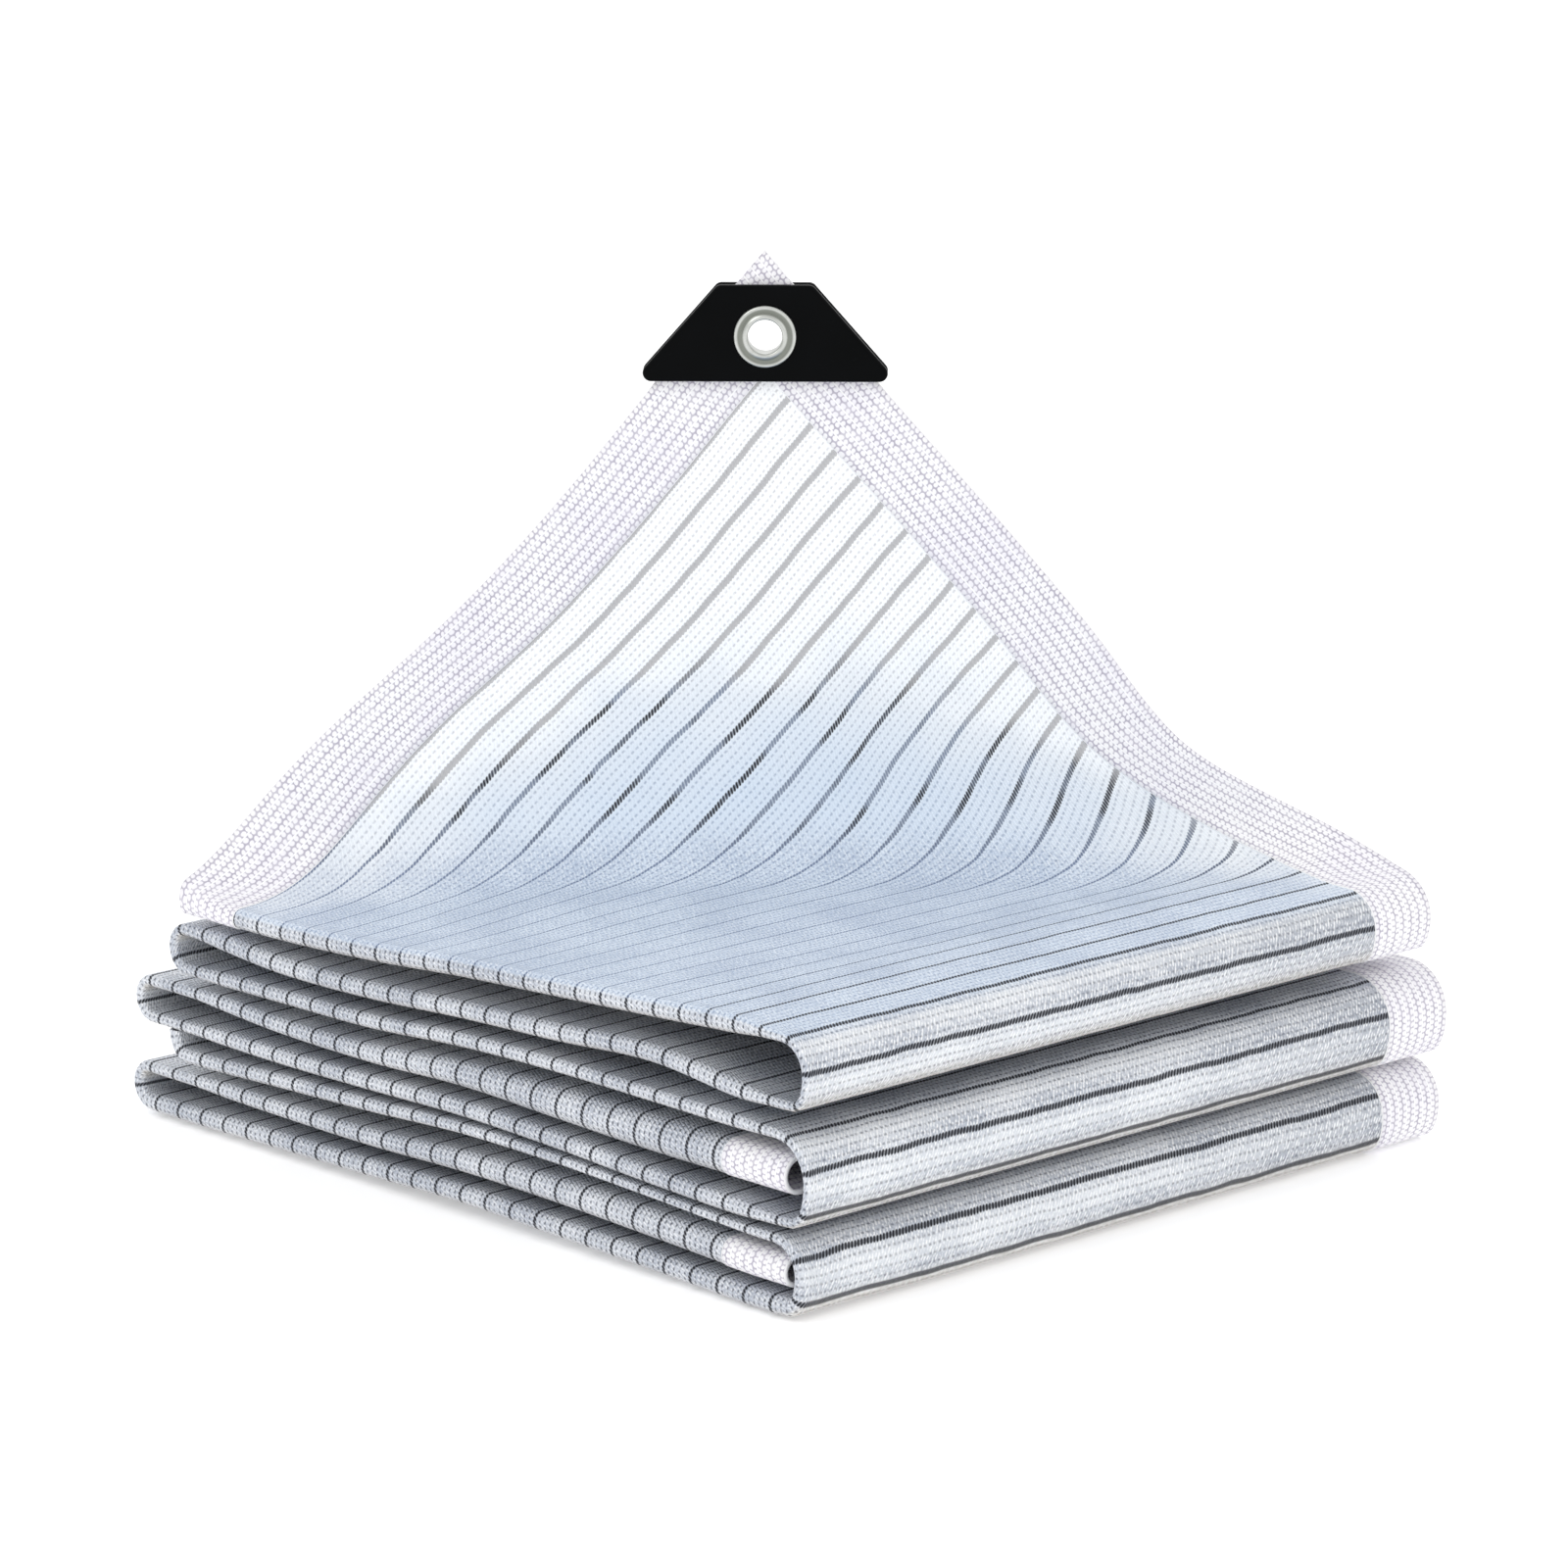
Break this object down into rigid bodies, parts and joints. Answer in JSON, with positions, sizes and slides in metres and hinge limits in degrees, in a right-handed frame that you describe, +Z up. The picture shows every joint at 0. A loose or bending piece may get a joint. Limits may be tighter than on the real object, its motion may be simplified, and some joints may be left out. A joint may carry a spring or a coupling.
{
  "type": "shade cloth",
  "caption": "Reflective shade net folded lengthwise and then back and forth into a square stack, bound with webbing, one corner raised and held by a clip with an eyelet.",
  "frame": {"origin": "the middle of the part's box, on the plane that the stack rests on", "axes": "+Z up; +X along the stack's diagonal from the crease's far end to the selvedge's near end; the raised corner, its clip and its eyelet face -Y, and the stack's near corner points to -Y"},
  "size_m": [0.4386, 0.439, 0.2937],
  "materials": {
    "reflective_net": "knitted silver foil tape with thin dark stripes and a satin sheen",
    "white_webbing": "matt plain-woven white webbing",
    "black_clip": "fine satin moulded black",
    "nickel_eyelet": "satin nickel plating"
  },
  "bodies": {
    "root": {"net_cloth": "reflective_net", "side_band_upper_face": "white_webbing", "side_band_upper_under": "white_webbing", "side_band_lower_face": "white_webbing", "side_band_lower_under": "white_webbing", "end_band_top": "white_webbing", "end_band_tuck_upper": "white_webbing", "end_band_tuck_lower": "white_webbing", "clip_front": "black_clip", "clip_back": "black_clip", "eyelet": "nickel_eyelet", "eyelet_washer": "nickel_eyelet"}
  },
  "joints": []
}
